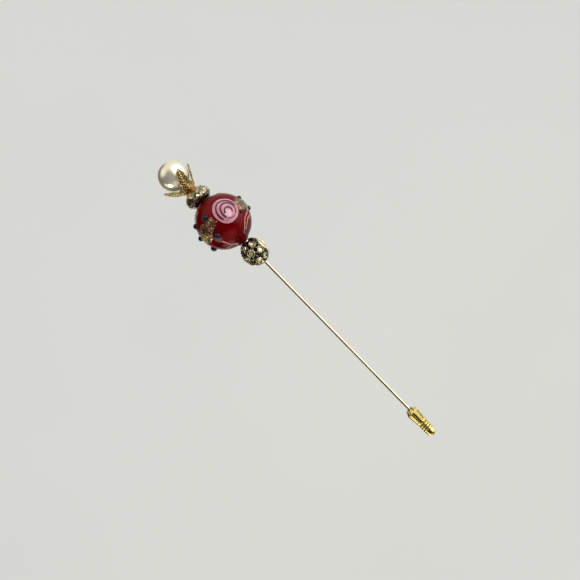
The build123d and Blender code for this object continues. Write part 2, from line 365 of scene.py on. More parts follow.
def wire_gold():
    """Champagne-gold wire with faint drawing lines."""
    m = Material("champagne_gold_wire", Metallic=1.0)
    lines = m.noise(9000, 3, 0.5, (1, 1, 0.004))
    tone = m.noise(260, 3)
    m.put(m.shader.inputs["Base Color"], m.mix(tone, (0.70, 0.56, 0.37), (0.92, 0.81, 0.60)))
    m.put(m.shader.inputs["Roughness"], m.span(lines, 0.06, 0.13))
    m.bump(lines, 0.000008, 0.5)
    return m.made


def bright_gold():
    """Polished plating with small dents and handling wear, and painted shade in its flutes, crown notches, mouth
    and grooves.
    """
    m = Material("bright_gold", Metallic=1.0)
    tone = m.noise(700, 4)
    face = m.mix(m.span(tone, 0, 1, 0.3, 0.7), (0.80, 0.58, 0.13), (1.0, 0.84, 0.34))
    # Marked hollows take a dark colour: painted shade.
    m.put(m.shader.inputs["Base Color"], m.mix(m.value("recess"), face, (0.14, 0.10, 0.03)))
    m.put(m.shader.inputs["Roughness"], m.span(m.noise(2500, 4), 0.08, 0.22))
    m.bump(m.noise(2200, 3), 0.000008, 0.4)
    return m.made


def coated_crystal():
    """Faceted glass under a bronze metallic coat, with a fine mosaic of painted glints and reflections for its back
    facets showing through, and painted shade on its underside.
    """
    m = Material("coated_crystal", Metallic=0.95, Roughness=0.09, Coat_Weight=0.5, Coat_Roughness=0.02)
    cells = m.cells(1350.0)
    glint_mosaic = m.ramp(
        m.part(cells, "Green"),
        (0.0, (0.07, 0.06, 0.04)),
        (0.25, (0.36, 0.30, 0.20)),
        (0.45, (0.16, 0.20, 0.11)),
        (0.58, (0.72, 0.56, 0.47)),
        (0.74, (0.48, 0.46, 0.32)),
        (0.86, (0.90, 0.86, 0.66)),
    )
    # Each facet is painted lighter or darker as painted light, and the underside dark reddish brown as painted
    # shade.
    facet_light_colour = m.mix(m.value("facet"), (0.12, 0.07, 0.05), (1.3, 1.25, 1.12))
    m.put(m.shader.inputs["Base Color"], m.mix(1.0, glint_mosaic, facet_light_colour, "MULTIPLY"))
    m.facets(cells, 0.6)
    m.bump(m.noise(3500, 2), 0.000006, 0.3)
    return m.made


def ruby_glass():
    """Deep ruby glass with small ripples."""
    m = Material(
        "ruby_glass", Transmission_Weight=0.22, IOR=1.45, Roughness=0.05, Specular_IOR_Level=0.06
    )
    swirl = m.noise(160, 4)
    deep = m.ramp(swirl, (0.35, (0.08, 0.0, 0.001)), (0.5, (0.125, 0.0, 0.001)), (0.72, (0.21, 0.001, 0.012)))
    m.put(m.shader.inputs["Base Color"], deep)
    m.bump(m.noise(240, 3), 0.00012, 0.3)
    return m.made


def pink_glass():
    """Pink glass with wound plum lines and a paler heart."""
    under = {"Subsurface_Weight": 0.12, "Subsurface_Radius": (0.0012, 0.0005, 0.0006), "Subsurface_Scale": 1.0}
    m = Material("pink_glass", Roughness=0.45, Specular_IOR_Level=0.3, Coat_Weight=0.12, **under)
    streaks = m.noise(620, 5, 0.6)
    body = m.ramp(streaks, (0.3, (0.33, 0.125, 0.165)), (0.5, (0.40, 0.175, 0.22)), (0.75, (0.50, 0.26, 0.30)))
    body = m.mix(m.value("heart"), body, (0.52, 0.30, 0.36))
    body = m.mix(m.value("line"), body, (0.05, 0.004, 0.018))
    m.put(m.shader.inputs["Base Color"], body)
    m.bump(m.noise(1400, 4), 0.00003, 0.4)
    return m.made


def goldstone():
    """Copper glitter in brown glass, with a drop of olive glass where the mesh is marked."""
    m = Material("goldstone", Coat_Weight=0.5, Coat_Roughness=0.04)
    flakes = m.cells(2500.0)
    flake = m.part(flakes, "Red")
    colour = m.ramp(
        flake,
        (0.0, (0.03, 0.014, 0.006)),
        (0.35, (0.12, 0.065, 0.03)),
        (0.6, (0.40, 0.20, 0.10)),
        (0.80, (0.66, 0.40, 0.23)),
        (0.91, (1.0, 0.92, 0.76)),
    )
    clouds = m.ramp(
        m.noise(560, 4), (0.38, (0.22, 0.13, 0.07)), (0.5, (0.52, 0.33, 0.21)), (0.62, (0.85, 0.72, 0.66))
    )
    colour = m.mix(1.0, colour, clouds, "MULTIPLY")
    m.put(m.shader.inputs["Base Color"], m.mix(m.value("spot"), colour, (0.26, 0.24, 0.02)))
    m.put(m.shader.inputs["Metallic"], m.span(flake, 0.1, 0.95, 0.3, 0.9))
    m.put(m.shader.inputs["Roughness"], m.span(flake, 0.4, 0.16))
    m.facets(flakes, 0.7)
    return m.made


def thread_glass():
    """Thin threads of pinkish-tan glass."""
    m = Material("thread_glass", Roughness=0.3, Metallic=0.25, Coat_Weight=0.3, Coat_Roughness=0.05)
    tone = m.ramp(
        m.noise(1500, 4), (0.35, (0.26, 0.11, 0.07)), (0.6, (0.48, 0.26, 0.19)), (0.75, (0.72, 0.53, 0.43))
    )
    m.put(m.shader.inputs["Base Color"], tone)
    m.bump(m.noise(5200, 3), 0.00002, 0.5)
    return m.made


def dark_glass():
    """Near-black glass with a violet cast."""
    m = Material("dark_glass", Roughness=0.04, IOR=1.45, Specular_IOR_Level=0.35)
    tone = m.ramp(m.noise(900, 3), (0.35, (0.002, 0.002, 0.004)), (0.7, (0.012, 0.008, 0.03)))
    m.put(m.shader.inputs["Base Color"], tone)
    m.bump(m.noise(1200, 2), 0.00001, 0.3)
    return m.made


def plain(name, pale, deep, roughness, scale, **settings):
    """A quiet material with clouded colour."""
    m = Material(name, **settings)
    m.put(m.shader.inputs["Base Color"], m.mix(m.noise(scale, 4), deep, pale))
    m.put(m.shader.inputs["Roughness"], m.span(m.noise(scale * 3, 3), roughness * 0.8, roughness * 1.2))
    m.bump(m.noise(scale * 4, 3), 0.00001, 0.4)
    return m.made


# ---------------------------------------------------------------- the head


def make_pearl(material):
    """The pearl with its drill hole, a little out of round as dipped beads are."""
    hole_r, hole_deep = 0.6 * MM, 5 * MM
    rim = np.arccos(hole_r / PEARL_R)
    arc = [(PEARL_R * np.cos(a), PEARL_R * np.sin(a)) for a in np.linspace(-rim, pi / 2, 90)]
    floor = -PEARL_R + hole_deep
    profile = np.array([(0, floor), (hole_r, floor), *arc])
    points, faces = lathe(profile, 128)
    outside = np.linalg.norm(points, axis=1) > PEARL_R * 0.9
    points[outside] *= 1 + 0.004 * lumps(points[outside], 170, 1)[:, None]
    obj = mesh_object("pearl_bead", leaning(points, PEARL_C, CAP_AXIS), faces, 50)
    return ride(obj, material, "pearl_coat", "pin", "pearl")


# The cup's outline as radius and height in millimetres
CAP_PROFILE = ((1.75, 0.0), (2.1, 0.35), (2.9, 1.5), (3.9, 3.2), (4.8, 4.9), (5.4, 6.1), (5.75, 7.0))
CAP_HEIGHT = 7.0
CAP_PETALS = 4
# For each leaf: direction round the cup, sideways sweep of its tip, how far it is bent open, in degrees, and size
CAP_LEAVES = ((11.0, 11.0, 4.0, 1.0), (104.0, 0.0, 4.0, 1.05), (196.0, 4.0, 1.0, 1.0), (-74.0, 0.0, 10.0, 0.95))
CAP_WALL = 0.3
CAP_BEND_R = 1.9  # the leaves bend about this radius, at the foot


def cap_radius(height):
    """The flared cup's outer radius at a height above its base, in millimetres."""
    line = np.array(rounded(CAP_PROFILE, 3))
    return np.interp(height, line[:, 1], line[:, 0])


def petal_half_width(height):
    """Half of a petal's width in millimetres: joined to its neighbours low down, then a pointed leaf."""
    leaf = np.interp(
        height, [1.4, 2.3, 3.3, 4.4, 5.4, 6.2, 6.75, 7.0], [1.2, 1.5, 1.72, 1.62, 1.2, 0.72, 0.28, 0.0]
    )
    joined = cap_radius(height) * pi / CAP_PETALS * 1.06
    return joined + (leaf - joined) * smooth(1.3, 2.8, height)


def petal_marks(offset, share, height):
    """Midrib, side veins and edge of the pressed leaf pattern, each from 0 to 1."""
    beads = 0.55 + 0.45 * np.cos(height * 2 * pi / 0.8)
    midrib = np.exp(-((offset / 0.2) ** 2)) * beads
    veins = np.cos((height - np.abs(offset) * 1.2) * pi / 1.05) ** 6
    cross = np.cos((height + np.abs(offset) * 1.6) * pi / 1.3) ** 8
    edge = smooth(0.82, 0.96, np.abs(share)) * smooth(0.9, 2.0, height)
    worn = 0.6 + 0.4 * np.sin(5.1 * height + 6.0 * offset) * np.cos(4.3 * height - 7.0 * offset + 1.0)
    return midrib, np.maximum(veins, cross * 0.8) * worn, edge


def make_cap(material):
    """Pressed petal cap: four leaves with a midrib and veins, a floor with a wire hole, and a rolled foot."""
    rows, across = 140, 47
    height = np.linspace(0, CAP_HEIGHT, rows)[:, None]
    share = np.linspace(-1, 1, across)[None, :]
    offset = share * petal_half_width(height)
    radius = cap_radius(height)
    midrib, veins, edge = petal_marks(offset, share, height)
    fade = smooth(0.3, 1.0, height) * smooth(CAP_HEIGHT, CAP_HEIGHT - 0.6, height)
    cupped = 0.16 * smooth(0.8, 2.2, height) * (1 - share**2)
    relief = (0.22 * midrib + 0.20 * veins * (1 - midrib) + 0.14 * edge - cupped) * fade
    parted = petal_half_width(height)[:, 0] < radius[:, 0] * pi / CAP_PETALS * 0.999
    parts, marks, warmth, faces, base = [], [], [], [], 0
    for place, sweep, opened, size in CAP_LEAVES:
        turn = radians(place) + radians(sweep) * smooth(2.5, 7.0, height) + offset / radius
        bend = radians(opened) * smooth(1.0, 3.4, height)
        for layer in (radius + relief, radius - CAP_WALL + relief):
            out = CAP_BEND_R + (layer - CAP_BEND_R) * np.cos(bend) * size + height * np.sin(bend)
            up = height * np.cos(bend) * size - (layer - CAP_BEND_R) * np.sin(bend)
            parts.append(np.stack([out * np.sin(turn), -out * np.cos(turn), up + 0 * turn], -1).reshape(-1, 3))
            # The hollows between midrib, veins and edges are marked for painted shade.
            hollow = np.clip(1.0 - 1.3 * midrib - 1.2 * veins - edge, 0, 1) * smooth(0.3, 1.2, height)
            marks.append((hollow + 0 * turn).ravel())
            warmth.append((smooth(1.9, 0.5, height) + 0 * turn).ravel())
            faces += [tuple(base + k for k in f) for f in grid_faces(rows, across, False)]
            base += rows * across
        first, second = base - 2 * rows * across, base - rows * across
        for row in np.flatnonzero(parted[:-1] | parted[1:]):
            for column in (0, across - 1):
                a, b = row * across + column, (row + 1) * across + column
                faces.append((first + a, first + b, second + b, second + a))
    floor = [(1.46, 0), (0.55, 0), (0.55, 0.5), (1.5, 0.5)]
    foot = [(1.72 + 0.2 * cos(a), 0.2 + 0.2 * sin(a)) for a in np.linspace(0, 2 * pi, 17)]
    for profile in (finer(floor, 0.2), np.array(foot)):
        ring, ring_faces = lathe(profile, 120)
        parts.append(ring)
        marks.append(np.full(len(ring), 0.6))
        warmth.append(np.ones(len(ring)))
        faces += [tuple(base + k for k in f) for f in ring_faces]
        base += len(ring)
    points = leaning(np.concatenate(parts) * MM, CAP_FOOT, CAP_AXIS)
    obj = mesh_object("petal_cap_stamped", points, faces, 40)
    tree = kdtree.KDTree(len(points))
    for k, point in enumerate(points):
        tree.insert(point, k)
    tree.balance()
    same = [tree.find(v.co)[1] for v in obj.data.vertices]
    attribute(obj, "recess", np.concatenate(marks)[same])
    attribute(obj, "warm", np.concatenate(warmth)[same])
    return ride(obj, material, "stamped_gold", "pin", "petal_cap")


def make_rondelle(material):
    """Rondelle cut in rings of triangular facets, with its bore."""
    sides = 18
    rng = np.random.default_rng(5)
    half = RONDELLE_H / 2
    rings = [
        (0.80 * MM, half, 0.0),
        (2.45 * MM, half, 0.0),
        (3.35 * MM, 0.78 * half, 0.5),
        (4.05 * MM, 0.50 * half, 0.0),
        (4.50 * MM, 0.14 * half, 0.5),
        (RONDELLE_R, -0.22 * half, 0.0),
        (4.45 * MM, -0.54 * half, 0.5),
        (3.80 * MM, -0.86 * half, 0.0),
        (2.95 * MM, -1.17 * half, 0.5),
        (0.80 * MM, -0.985 * half, 0.5),
    ]
    points = []
    for radius, height, shift in rings:
        cut = 0.11 * MM if radius > 3 * MM else 0.0
        for i in range(sides):
            a = 2 * pi * (i + shift) / sides + rng.uniform(-0.05, 0.05)
            r = radius - rng.uniform(0, cut)
            points.append((r * sin(a), -r * cos(a), height + rng.uniform(-0.5, 0.5) * cut))
    faces = []
    for k, (upper, lower) in enumerate(zip(rings[:-1], rings[1:])):
        for i in range(sides):
            j = (i + 1) % sides
            a, b, c, d = k * sides + i, k * sides + j, (k + 1) * sides + i, (k + 1) * sides + j
            if upper[2] == lower[2]:
                faces.append((a, b, d, c))
            elif lower[2] > upper[2]:
                faces += [(a, b, c), (b, d, c)]
            else:
                faces += [(a, b, d), (a, d, c)]
    last = (len(rings) - 1) * sides
    for i in range(sides):
        j = (i + 1) % sides
        faces += [(i, last + i, j), (j, last + i, last + j)]
    obj = mesh_object("rondelle_cut", leaning(np.array(points), RONDELLE_C, HEAD_AXIS), faces, 0)
    made = obj.data.attributes.new("facet", "FLOAT", "FACE")
    # Each facet gets a random painted brightness as a glint; the lower facets are painted shade, the lowest black.
    shade = 0.3 + 0.7 * rng.random(len(obj.data.polygons))
    under = np.array([upright(np.array(f.center), RONDELLE_C, HEAD_AXIS)[2] for f in obj.data.polygons])
    shade[under < -0.62 * half] *= 0.4
    shade[under < -0.88 * half] = 0.0
    made.data.foreach_set("value", shade.astype(np.float32))
    bevel = obj.modifiers.new("worn edges", "BEVEL")
    bevel.width = 0.03 * MM
    bevel.segments = 2
    bevel.limit_method = "ANGLE"
    bevel.angle_limit = radians(8)
    return ride(obj, material, "coated_crystal", "pin", "crystal_rondelle")


# ---------------------------------------------------------------- the lampwork bead

# Roses: node, azimuth and latitude in degrees, turn of the pattern, and 1 or -1 for its hand
ROSES = (
    ("rose_1", 20, 5.5, 0, 1),
    ("rose_2", 133, 2, 25, -1),
    ("rose_3", -126, -1, -20, 1),
)
ROSE_R = 4.3 * MM
ROSE_RELIEF = 0.42 * MM
# Plum lines as parts of ellipses in the rose's radii: centre x, y, radius x, y, start and end angle, strength
ROSE_LINES = (
    (0.02, -0.08, 0.76, 0.78, -20, 216, 1.0),
    (0.10, -0.16, 0.54, 0.57, -72, 218, 1.0),
    (0.10, -0.18, 0.55, 0.57, 212, 294, 0.6),
    (0.05, -0.22, 0.28, 0.28, -58, 186, 1.1),
)
ROSE_LINE_WIDTH = 0.074


def rose_outline(turn):
    """How far the uneven rim is from round."""
    return 1 + 0.035 * np.sin(2 * turn - 1.2) + 0.015 * np.sin(3 * turn + 2.0) + 0.008 * np.sin(5 * turn)


def line_mask(x, y, line):
    """1 on a plum line and 0 away from it."""
    cx, cy, rx, ry, start, end, strength = line
    angle = np.degrees(np.arctan2((y - cy) / ry, (x - cx) / rx))
    angle = (angle - start) % 360 + start
    away = np.abs(np.hypot((x - cx) / rx, (y - cy) / ry) - 1) * (rx + ry) / 2
    width = ROSE_LINE_WIDTH * (1 + 0.22 * np.sin(np.radians(angle * 2.1 + 40)))
    ends = smooth(start, start + 14, angle) * smooth(end, end - 14, angle)
    return np.clip(strength * ends * smooth(width * 1.25, width * 0.6, away), 0, 1)


def rose_pattern(spread, turn, twist, mirror):
    """Plum lines and pale parts by distance from the rose's middle, as a share of its radius, and by angle."""
    x, y = spread * np.cos(turn + radians(twist)) * mirror, spread * np.sin(turn + radians(twist))
    lines = np.zeros_like(x)
    for line in ROSE_LINES:
        lines = np.maximum(lines, line_mask(x, y, line))
    heart = smooth(0.33, 0.18, np.hypot(x + 0.10, y + 0.36))
    return lines, np.maximum(heart, 0.4 * smooth(0.82, 0.97, spread))


def make_rose(name, azimuth, latitude, twist, mirror, material):
    """A low pink dome wound with plum lines."""
    rings, spokes = 100, 240
    share = np.linspace(0, 1, rings)[:, None]
    turn = np.linspace(0, 2 * pi, spokes, endpoint=False)[None, :]
    lines = rose_pattern(share, turn, twist, mirror)[0]
    rise = ROSE_RELIEF * np.clip(1 - share**2, 0, 1) ** 0.42 - 0.04 * MM * lines
    tilt = share * rose_outline(turn) * ROSE_R / GLASS_R
    step = np.stack([np.sin(tilt) * np.cos(turn), np.sin(tilt) * np.sin(turn), np.cos(tilt)], -1)
    layers = [step * (GLASS_R + rise)[..., None], step[::-1] * (GLASS_R - 0.25 * MM)]
    centre = heading(azimuth, latitude)
    across = Vector((0, 0, 1)).cross(centre).normalized()
    axes = np.array([across, centre.cross(across), centre])
    points = np.concatenate([layer.reshape(-1, 3) for layer in layers]) @ axes
    obj = mesh_object(f"{name}_wound", leaning(points, GLASS_C, HEAD_AXIS), grid_faces(2 * rings, spokes, True), 60)
    at = upright(coordinates(obj), GLASS_C, HEAD_AXIS) @ axes.T
    around = np.arctan2(at[:, 1], at[:, 0])
    spread = np.arctan2(np.hypot(at[:, 0], at[:, 1]), at[:, 2]) * GLASS_R / ROSE_R / rose_outline(around)
    lines, pale = rose_pattern(spread, around, twist, mirror)
    attribute(obj, "line", lines)
    attribute(obj, "heart", pale)
    return ride(obj, material, "pink_glass", "pin", name)


# Patches: azimuth, latitude, half-width and half-height in degrees, how far the lower right is cut back,
# the azimuth of an olive drop, and the seed of the outline
PATCHES = (
    ("goldstone_patch_1", -43, 2, 35, 19, 0.62, -58, 11),
    ("goldstone_patch_2", 69, -5, 26, 17, 0.0, 81, 12),
    ("goldstone_patch_3", 184, 0, 19, 20, 0.2, 176, 13),
)


def make_patch(name, azimuth, latitude, wide, high, cut_back, drop, seed, material):
    """An uneven patch of goldstone laid on the bead."""
    rings, spokes = 48, 200
    share = np.linspace(0, 1, rings)[:, None]
    turn = np.linspace(0, 2 * pi, spokes, endpoint=False)[None, :]
    rim = np.stack([np.cos(turn[0]), np.sin(turn[0]), 0 * turn[0]], -1)
    outline = 0.96 + 0.20 * lumps(rim, 1.7, seed) + 0.15 * lumps(rim, 5.0, seed + 1)
    box = np.maximum(np.abs(np.cos(turn)), np.abs(np.sin(turn))) ** 0.35
    lower = np.where(np.sin(turn) < 0, 1 - cut_back * smooth(-0.15, 0.5, np.cos(turn)), 0.9)
    a = np.radians(azimuth + wide * share * outline * np.cos(turn) / box)
    b = np.radians(latitude + high * share * outline * lower * np.sin(turn) / box)
    way = np.stack([np.sin(a) * np.cos(b), -np.cos(a) * np.cos(b), np.sin(b)], -1).reshape(-1, 3)
    bumps = lumps(way, 9.0, seed + 2).reshape(a.shape)
    rise = (0.22 + 0.18 * bumps) * MM * np.sqrt(np.clip(1 - share**4, 0, 1)) + 0.03 * MM
    outer = way * (GLASS_R + rise.reshape(-1, 1))
    inner = way.reshape(rings, spokes, 3)[::-1].reshape(-1, 3) * (GLASS_R - 0.15 * MM)
    points = leaning(np.concatenate([outer, inner]), GLASS_C, HEAD_AXIS)
    obj = mesh_object(f"{name}_laid", points, grid_faces(2 * rings, spokes, True), 60)
    at = upright(coordinates(obj), GLASS_C, HEAD_AXIS) / GLASS_R
    away = np.linalg.norm((at - np.array(heading(drop, latitude - 4))) * (1, 1, 1.5), axis=1)
    attribute(obj, "spot", smooth(0.20, 0.15, away))
    return ride(obj, material, "goldstone", "pin", name)


# Dots: azimuth and latitude in degrees, and radius in millimetres
DOTS = (
    (-22.5, 24, 0.85),
    (-31.5, -18, 0.95),
    (-69, 32, 0.85),
    (-88, 9, 0.85),
    (-97, -23, 1.05),
    (44, -18, 0.5),
    (86, 10, 0.7),
    (92, -17, 0.75),
    (160, 24, 0.75),
    (158, -22, 0.8),
    (209, 22, 0.8),
    (207, -23, 0.75),
)


def make_dots(material):
    """Raised beads of dark glass."""
    points, faces, base = [], [], 0
    rings, spokes = 24, 32
    for k, (azimuth, latitude, size) in enumerate(DOTS):
        out = heading(azimuth, latitude)
        turn = out.to_track_quat("Z", "X").to_matrix()
        for i in range(rings):
            polar = pi * i / (rings - 1)
            for j in range(spokes):
                around = 2 * pi * j / spokes
                wobble = 1 + 0.05 * sin(2 * around + k) * sin(polar)
                local = Vector((sin(polar) * cos(around) * wobble, sin(polar) * sin(around) * wobble, cos(polar)))
                points.append(out * (GLASS_R - 0.1 * size * MM) + turn @ local * size * 1.12 * MM)
        faces += [tuple(base + n for n in f) for f in grid_faces(rings, spokes, True)]
        base += rings * spokes
    obj = mesh_object("dark_dots", leaning(np.array(points), GLASS_C, HEAD_AXIS), faces)
    return ride(obj, material, "dark_glass", "pin", "glass_dots")


# The bends of each thread: azimuth and latitude in degrees
STRINGERS = (
    ((76, -18), (47, -31), (35, -44), (22, -60)),
    ((82, -29), (56, -36), (44, -46), (34, -54)),
    ((-38, -30), (-38, -44), (-40, -54), (-32, -71)),
    ((-62, -49), (-50, -54), (-38, -58), (-31, -66)),
    ((-100, 38), (-84, 52), (-60, 62), (-30, 66)),
    ((104, 30), (90, 44), (76, 54), (60, 50)),
    ((150, -36), (164, -44), (180, -54), (196, -62)),
    ((214, 34), (200, 45), (182, 52), (160, 48)),
)


def make_stringers(material):
    """Thin threads of glass laid across the bead."""
    points, faces, base = [], [], 0
    rows, around = 70, 14
    for k, places in enumerate(STRINGERS):
        stops = [heading(*p) for p in places]
        line = []
        for i in range(rows):
            t = i / (rows - 1) * (len(stops) - 1)
            n = min(int(t), len(stops) - 2)
            s = t - n
            before, after = stops[max(n - 1, 0)], stops[min(n + 2, len(stops) - 1)]
            a, b = stops[n], stops[n + 1]
            way = (
                a * (2 * s**3 - 3 * s**2 + 1)
                + (b - before) * 0.5 * (s**3 - 2 * s**2 + s)
                + b * (3 * s**2 - 2 * s**3)
                + (after - a) * 0.5 * (s**3 - s**2)
            )
            line.append(way.normalized())
        for i in range(rows):
            ahead = (line[min(i + 1, rows - 1)] - line[max(i - 1, 0)]).normalized()
            out = line[i]
            side = ahead.cross(out)
            end = min(i, rows - 1 - i) / 6
            size = 0.19 * MM * min(1, end**0.5 if end > 0 else 0) * (1 + 0.25 * sin(i * 0.5 + k))
            for j in range(around):
                a = 2 * pi * j / around
                points.append(out * (GLASS_R + 0.04 * MM) + (out * cos(a) * 0.8 + side * sin(a)) * size)
        faces += [tuple(base + n for n in f) for f in grid_faces(rows, around, True)]
        base += rows * around
    obj = mesh_object("goldstone_threads", leaning(np.array(points), GLASS_C, HEAD_AXIS), faces)
    return ride(obj, material, "goldstone", "pin", "goldstone_stringers")


def make_core(material):
    """The ruby glass ball with its bore and a collar at the flower bead, a little uneven as wound glass is."""
    bore, collar, collar_height = 0.95 * MM, 2.1 * MM, 0.15 * MM
    low = -GLASS_R - collar_height
    arc = [
        (GLASS_R * np.cos(a), GLASS_R * np.sin(a))
        for a in np.linspace(-np.arccos(collar / GLASS_R), np.arccos(bore / GLASS_R), 160)
    ]
    profile = [(bore, low), (collar - 0.2 * MM, low), (collar, low + 0.1 * MM), *arc, (bore, low)]
    points, faces = lathe(np.array(profile), 200)
    outside = np.hypot(points[:, 0], points[:, 1]) > collar * 1.2
    points[outside] *= 1 + 0.0025 * lumps(points[outside], 120, 3)[:, None] - 0.0025
    obj = mesh_object("ruby_core", leaning(points, GLASS_C, HEAD_AXIS), faces, 50)
    return ride(obj, material, "ruby_glass", "pin", "ruby_glass_core")


# ---------------------------------------------------------------- the flower ball

BALL_TURN = -12.0
BAND_HALF = 0.9 * MM
BAND_R = BALL_R + 0.08 * MM
BALL_SQUEEZE = np.array([0.93, 0.98, 0.995])
# Cups, and the pits between them: angle from the dome's middle, angle round it, and radius in millimetres
CUPS = (
    (8, 177, 1.4),
    (37, 46, 1.15),
    (38, -21, 1.12),
    (46, -98, 1.2),
    (43, 117, 1.05),
    (42, 186, 0.95),
    (58, -58, 1.0),
    *((70, 80 + 36 * i, 0.95) for i in range(6)),
)
PITS = (
    (19, 0, 0.5),
    (23, 75, 0.4),
    (24, -60, 0.36),
    (28, 150, 0.32),
    (24, 215, 0.38),
    (34, 82, 0.30),
    (40, 12, 0.36),
    (52, 20, 0.30),
    (50, -40, 0.32),
    (44, -68, 0.30),
    (44, -130, 0.38),
    (46, 215, 0.34),
    (46, 152, 0.36),
    (55, 92, 0.34),
    (58, 135, 0.30),
    (60, 165, 0.30),
    (60, 205, 0.30),
    (62, -118, 0.32),
    (66, -80, 0.32),
)


def on_dome(way, polar, around, size):
    """Distance of unit vectors from a cup's or pit's middle, as a share of its radius."""
    p, a = radians(polar), radians(around)
    centre = np.array([sin(p) * cos(a), sin(p) * sin(a), cos(p)])
    return np.arccos(np.clip(way @ centre, -1, 1)) * BALL_R / MM / size


def ball_height(way):
    """Height, patina with painted shade in the pits, and cup colour on a dome, for unit vectors whose Z is the
    dome's middle.
    """
    rise = np.full(len(way), -0.10)
    dark = 0.95 + 0.07 * np.sin(way[:, 0] * 31 + 2) * np.sin(way[:, 1] * 27 + 1)
    cup = np.zeros(len(way))
    for polar, around, size in CUPS:
        away = on_dome(way, polar, around, size)
        inside = away < 1.12
        ridge = np.exp(-(((away - 0.88) / 0.12) ** 2))
        bowl = -0.26 * np.clip(1 - (away / 0.8) ** 2, 0, 1)
        floor = (0.02 + 0.95 * smooth(0.48, 0.68, away)) * (away < 0.9)
        rise = np.where(inside, 0.22 * ridge + bowl - 0.10 * smooth(0.95, 1.12, away), rise)
        dark = np.where(inside, np.clip(floor - ridge, 0, 1) + 0.85 * smooth(0.98, 1.1, away), dark)
        cup = np.maximum(cup, smooth(0.62, 0.42, away))
    rims, holes = np.zeros(len(way)), np.zeros(len(way))
    for polar, around, size in PITS:
        away = on_dome(way, polar, around, size) / 1.3
        rims = np.maximum(rims, np.exp(-(((away - 1.3) / 0.2) ** 2)))
        holes = np.maximum(holes, smooth(1.05, 0.75, away))
    rise = (rise + 0.09 * rims) * (1 - holes) - 0.48 * holes
    # The pits are painted black, as painted shade standing in for openings into the dark inside.
    dark = np.maximum(dark * (1 - 0.35 * rims), holes)
    plain = smooth(0.80, 0.86, way[:, 0]) * smooth(0.75, 0.55, np.abs(way[:, 1]))
    line = np.exp(-(((way[:, 0] - 0.80) / 0.025) ** 2)) * smooth(0.75, 0.55, np.abs(way[:, 1]))
    return rise * (1 - plain) * MM, np.maximum(dark * (1 - plain), 0.9 * line), cup * (1 - plain)


def ball_turned(points, facing):
    """Points made round +Z, turned so that they face -Y or +Y on the ball, and set in place."""
    about = radians(BALL_TURN + (0 if facing < 0 else 180))
    turn = Matrix.Rotation(about, 3, "Z") @ Matrix.Rotation(pi / 2, 3, "X")
    return leaning(points @ np.array(turn).T * BALL_SQUEEZE, BALL_C, HEAD_AXIS)


def make_dome(name, facing, material):
    """One dome on a hollow shell: cups with rubbed rims and an olive middle, and closed pits between them painted
    black as painted shade of openings.
    """
    rings, spokes = 220, 440
    widest = np.arccos(BAND_HALF / BALL_R)
    polar = np.linspace(0, widest, rings)[:, None]
    around = np.linspace(0, 2 * pi, spokes, endpoint=False)[None, :]
    way = np.stack([np.sin(polar) * np.cos(around), np.sin(polar) * np.sin(around), np.cos(polar) + 0 * around], -1)
    rise = ball_height(way.reshape(-1, 3))[0]
    rise = rise * smooth(widest, widest - 0.06, np.repeat(polar[:, 0], spokes))
    inner = way[::-8]
    outside = way.reshape(-1, 3) * (BALL_R + rise)[:, None]
    points = np.concatenate([outside, inner.reshape(-1, 3) * (BALL_R - 0.5 * MM)])
    obj = mesh_object(name + "_pierced", points, grid_faces(rings + len(inner), spokes, True), 60)
    back = coordinates(obj)
    dark, cup = ball_height(back / np.linalg.norm(back, axis=1)[:, None])[1:]
    attribute(obj, "recess", dark)
    attribute(obj, "cup", cup)
    placed = ball_turned(back, facing)
    obj.data.vertices.foreach_set("co", placed.astype(np.float32).ravel())
    return ride(obj, material, "antique_gold", "pin", name)


def make_band(material):
    """The plain polished band between the domes."""
    inner = BALL_R - 0.5 * MM
    crown = BAND_R + 0.04 * MM
    corners = [(inner, -BAND_HALF), (BAND_R, -BAND_HALF), (crown, 0), (BAND_R, BAND_HALF), (inner, BAND_HALF)]
    profile = np.array([*rounded(corners, 3), (inner, -BAND_HALF)])
    points, faces = lathe(profile, 180)
    obj = mesh_object("flower_band", ball_turned(points, -1), faces, 50)
    attribute(obj, "recess", np.zeros(len(obj.data.vertices)))
    return ride(obj, material, "antique_gold", "pin", "flower_bead_band")


# ---------------------------------------------------------------- the wire and the clutch


def make_wire(material):
    """The pin's wire: its ground point, its taper, the bare length, and the leaning part in the beads."""
    point, taper, in_cap = 3.5, 6.0, 7.0 * MM  # the point and taper in millimetres

    def low(up, radius):
        return Vector((0, 0, WIRE_TIP + up * MM)), radius * MM

    line = [
        low(0, 0),
        low(0.02, 0.06),
        *(low(d, 0.06 + 0.34 * (d / point) ** 0.85) for d in np.linspace(0.3, point, 14)),
        *(low(d, 0.4 + 0.1 * (d - point) / taper) for d in np.linspace(4.0, 9.2, 12)),
        *((Vector((0, 0, z)), WIRE_R) for z in np.linspace(WIRE_TIP + (point + taper) * MM, 0, 120)),
        *((HEAD_AXIS * d, WIRE_R) for d in np.linspace(0, CAP_FOOT.length, 40)[1:]),
        *((CAP_FOOT + CAP_AXIS * d, WIRE_R) for d in np.linspace(0.2 * MM, in_cap, 12)),
        (CAP_FOOT + CAP_AXIS * in_cap, 0.0),
    ]
    turn = np.linspace(0, 2 * pi, 48, endpoint=False)
    ring = np.stack([np.cos(turn), np.sin(turn), 0 * turn], -1)
    points = np.concatenate([np.array(place) + ring * radius for place, radius in line])
    obj = mesh_object("pin_wire", points, grid_faces(len(line), len(turn), True), 40)
    return ride(obj, material, "champagne_gold_wire", "pin", "shank")


FLUTES = 6
FLUTE_DEPTH, NOTCH_DEPTH = 0.24, 0.42


def flutes_at(turn, down):
    """Flute panels and crown notches, each from 0 to 1, by angle and by millimetres below the mouth."""
    wave = np.cos(FLUTES * (turn + pi / 2))
    panel = smooth(0.35, -0.10, wave) * smooth(1.25, 1.5, down) * smooth(5.25, 4.95, down)
    notch = smooth(-0.2, -0.9, wave) * smooth(1.2, 0.35, down)
    return panel, notch


